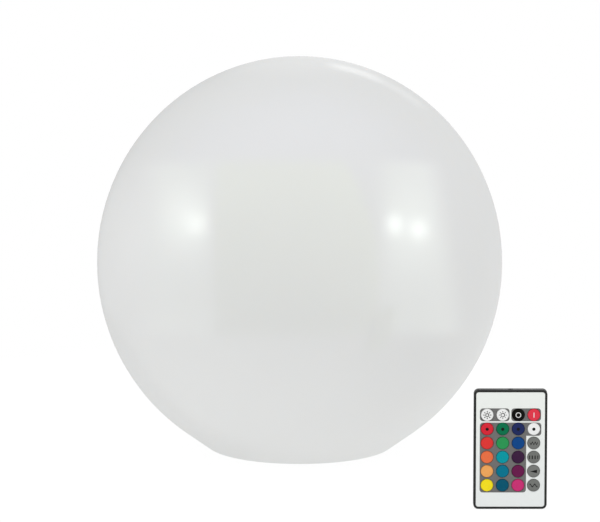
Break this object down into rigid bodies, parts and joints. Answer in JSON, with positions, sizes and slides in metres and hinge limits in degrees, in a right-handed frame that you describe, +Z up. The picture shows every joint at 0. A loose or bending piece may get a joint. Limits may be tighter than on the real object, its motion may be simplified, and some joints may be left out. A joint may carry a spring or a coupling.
{
  "type": "floating pool light",
  "caption": "Milky ball lamp with a flat foot that floats or stands, a screw-locked light capsule in its neck, and a card remote control with round keys.",
  "frame": {"origin": "centre of the ball's flat foot, in the plane that the ball stands on", "axes": "+Z up through the ball's pole, -Y towards the front, where the remote's keys face, +X to the right"},
  "size_m": [0.325, 0.3672, 0.2913],
  "materials": {
    "milky_polyethylene": "gloss",
    "white_plastic": "satin",
    "grey_rubber": "matte",
    "frosted_plastic": "matte",
    "white_board": "satin",
    "black_plastic": "matte",
    "green_board": "satin",
    "battery_wrap": "satin",
    "black_cable": "matte",
    "red_cable": "matte",
    "grey_silicone": "matte",
    "white_silicone": "matte",
    "remote_black": "satin",
    "remote_face": "satin",
    "dome_sheet": "satin",
    "clear_resin": "gloss",
    "cell_steel": "satin",
    "spring_steel": "satin",
    "stainless_screw": "satin",
    "key_white": "gloss",
    "key_black": "gloss",
    "key_red": "gloss",
    "key_grey": "gloss",
    "key_green": "gloss",
    "key_blue": "gloss",
    "key_tomato": "gloss",
    "key_light_green": "gloss",
    "key_royal_blue": "gloss",
    "key_orange": "gloss",
    "key_cyan": "gloss",
    "key_violet": "gloss",
    "key_amber": "gloss",
    "key_teal": "gloss",
    "key_plum": "gloss",
    "key_yellow": "gloss",
    "key_deep_teal": "gloss",
    "key_magenta": "gloss"
  },
  "bodies": {
    "ball": {"globe_shell": "milky_polyethylene", "neck_collar": "white_plastic", "collar_gasket": "grey_rubber", "collar_screw_1": "stainless_screw", "collar_screw_2": "stainless_screw", "collar_screw_3": "stainless_screw", "collar_screw_4": "stainless_screw"},
    "light_capsule": {"capsule_base": "white_plastic", "capsule_cup": "white_plastic", "seal_ring": "grey_rubber", "light_diffuser": "frosted_plastic", "light_board": "white_board", "infrared_receiver": "black_plastic", "control_board": "green_board", "battery_holder": "black_plastic", "battery_cell": "battery_wrap", "light_cable": "black_cable", "battery_cable": "red_cable", "switch_body": "black_plastic", "charge_socket": "black_plastic", "status_light_pipe": "frosted_plastic", "capsule_screw_1": "stainless_screw", "capsule_screw_2": "stainless_screw", "capsule_screw_3": "stainless_screw"},
    "screw_ring": {"locking_ring": "white_plastic"},
    "button": {"power_button": "grey_silicone"},
    "plug": {"charge_plug": "white_silicone"},
    "remote": {"remote_case": "remote_black", "remote_face": "remote_face", "remote_dome_sheet": "dome_sheet", "remote_board": "green_board", "infrared_emitter": "clear_resin", "negative_contact": "spring_steel", "positive_contact": "spring_steel"},
    "tray": {"battery_tray": "remote_black", "coin_cell": "cell_steel"},
    "key_brighter": {"key_brighter": "key_white"},
    "key_dimmer": {"key_dimmer": "key_white"},
    "key_off": {"key_off": "key_black"},
    "key_on": {"key_on": "key_red"},
    "key_red": {"key_red": "key_red"},
    "key_green": {"key_green": "key_green"},
    "key_blue": {"key_blue": "key_blue"},
    "key_white": {"key_white": "key_white"},
    "key_tomato": {"key_tomato": "key_tomato"},
    "key_light_green": {"key_light_green": "key_light_green"},
    "key_royal_blue": {"key_royal_blue": "key_royal_blue"},
    "key_flash": {"key_flash": "key_grey"},
    "key_orange": {"key_orange": "key_orange"},
    "key_cyan": {"key_cyan": "key_cyan"},
    "key_violet": {"key_violet": "key_violet"},
    "key_strobe": {"key_strobe": "key_grey"},
    "key_amber": {"key_amber": "key_amber"},
    "key_teal": {"key_teal": "key_teal"},
    "key_plum": {"key_plum": "key_plum"},
    "key_fade": {"key_fade": "key_grey"},
    "key_yellow": {"key_yellow": "key_yellow"},
    "key_deep_teal": {"key_deep_teal": "key_deep_teal"},
    "key_magenta": {"key_magenta": "key_magenta"},
    "key_smooth": {"key_smooth": "key_grey"}
  },
  "joints": [
    {"name": "capsule_drop", "type": "slide", "parent": "ball", "child": "light_capsule", "axis": [0, 0, -1], "range_m": [0, 0.08]},
    {"name": "ring_turn", "type": "hinge", "parent": "light_capsule", "child": "screw_ring", "pos_m": [0, 0, 0], "axis": [0, 0, -1], "range_deg": [0, 960.5]},
    {"name": "button_press", "type": "slide", "parent": "light_capsule", "child": "button", "axis": [0, 0, 1], "range_m": [0, 0.001], "stiffness_N_per_m": 800},
    {"name": "plug_pull", "type": "slide", "parent": "light_capsule", "child": "plug", "axis": [0, 0, -1], "range_m": [0, 0.014]},
    {"name": "remote_lift", "type": "slide", "parent": "ball", "child": "remote", "axis": [0, 0, 1], "range_m": [0, 0.1]},
    {"name": "tray_slide", "type": "slide", "parent": "remote", "child": "tray", "axis": [0, 0, -1], "range_m": [0, 0.025]},
    {"name": "brighter_press", "type": "slide", "parent": "remote", "child": "key_brighter", "axis": [0, 1, 0], "range_m": [0, 0.0003], "stiffness_N_per_m": 600},
    {"name": "dimmer_press", "type": "slide", "parent": "remote", "child": "key_dimmer", "axis": [0, 1, 0], "range_m": [0, 0.0003], "stiffness_N_per_m": 600},
    {"name": "off_press", "type": "slide", "parent": "remote", "child": "key_off", "axis": [0, 1, 0], "range_m": [0, 0.0003], "stiffness_N_per_m": 600},
    {"name": "on_press", "type": "slide", "parent": "remote", "child": "key_on", "axis": [0, 1, 0], "range_m": [0, 0.0003], "stiffness_N_per_m": 600},
    {"name": "red_press", "type": "slide", "parent": "remote", "child": "key_red", "axis": [0, 1, 0], "range_m": [0, 0.0003], "stiffness_N_per_m": 600},
    {"name": "green_press", "type": "slide", "parent": "remote", "child": "key_green", "axis": [0, 1, 0], "range_m": [0, 0.0003], "stiffness_N_per_m": 600},
    {"name": "blue_press", "type": "slide", "parent": "remote", "child": "key_blue", "axis": [0, 1, 0], "range_m": [0, 0.0003], "stiffness_N_per_m": 600},
    {"name": "white_press", "type": "slide", "parent": "remote", "child": "key_white", "axis": [0, 1, 0], "range_m": [0, 0.0003], "stiffness_N_per_m": 600},
    {"name": "tomato_press", "type": "slide", "parent": "remote", "child": "key_tomato", "axis": [0, 1, 0], "range_m": [0, 0.0003], "stiffness_N_per_m": 600},
    {"name": "light_green_press", "type": "slide", "parent": "remote", "child": "key_light_green", "axis": [0, 1, 0], "range_m": [0, 0.0003], "stiffness_N_per_m": 600},
    {"name": "royal_blue_press", "type": "slide", "parent": "remote", "child": "key_royal_blue", "axis": [0, 1, 0], "range_m": [0, 0.0003], "stiffness_N_per_m": 600},
    {"name": "flash_press", "type": "slide", "parent": "remote", "child": "key_flash", "axis": [0, 1, 0], "range_m": [0, 0.0003], "stiffness_N_per_m": 600},
    {"name": "orange_press", "type": "slide", "parent": "remote", "child": "key_orange", "axis": [0, 1, 0], "range_m": [0, 0.0003], "stiffness_N_per_m": 600},
    {"name": "cyan_press", "type": "slide", "parent": "remote", "child": "key_cyan", "axis": [0, 1, 0], "range_m": [0, 0.0003], "stiffness_N_per_m": 600},
    {"name": "violet_press", "type": "slide", "parent": "remote", "child": "key_violet", "axis": [0, 1, 0], "range_m": [0, 0.0003], "stiffness_N_per_m": 600},
    {"name": "strobe_press", "type": "slide", "parent": "remote", "child": "key_strobe", "axis": [0, 1, 0], "range_m": [0, 0.0003], "stiffness_N_per_m": 600},
    {"name": "amber_press", "type": "slide", "parent": "remote", "child": "key_amber", "axis": [0, 1, 0], "range_m": [0, 0.0003], "stiffness_N_per_m": 600},
    {"name": "teal_press", "type": "slide", "parent": "remote", "child": "key_teal", "axis": [0, 1, 0], "range_m": [0, 0.0003], "stiffness_N_per_m": 600},
    {"name": "plum_press", "type": "slide", "parent": "remote", "child": "key_plum", "axis": [0, 1, 0], "range_m": [0, 0.0003], "stiffness_N_per_m": 600},
    {"name": "fade_press", "type": "slide", "parent": "remote", "child": "key_fade", "axis": [0, 1, 0], "range_m": [0, 0.0003], "stiffness_N_per_m": 600},
    {"name": "yellow_press", "type": "slide", "parent": "remote", "child": "key_yellow", "axis": [0, 1, 0], "range_m": [0, 0.0003], "stiffness_N_per_m": 600},
    {"name": "deep_teal_press", "type": "slide", "parent": "remote", "child": "key_deep_teal", "axis": [0, 1, 0], "range_m": [0, 0.0003], "stiffness_N_per_m": 600},
    {"name": "magenta_press", "type": "slide", "parent": "remote", "child": "key_magenta", "axis": [0, 1, 0], "range_m": [0, 0.0003], "stiffness_N_per_m": 600},
    {"name": "smooth_press", "type": "slide", "parent": "remote", "child": "key_smooth", "axis": [0, 1, 0], "range_m": [0, 0.0003], "stiffness_N_per_m": 600}
  ],
  "couplings": [
    {"joint": "ring_turn", "follows": "capsule_drop", "rad_per_m": 209.44}
  ]
}
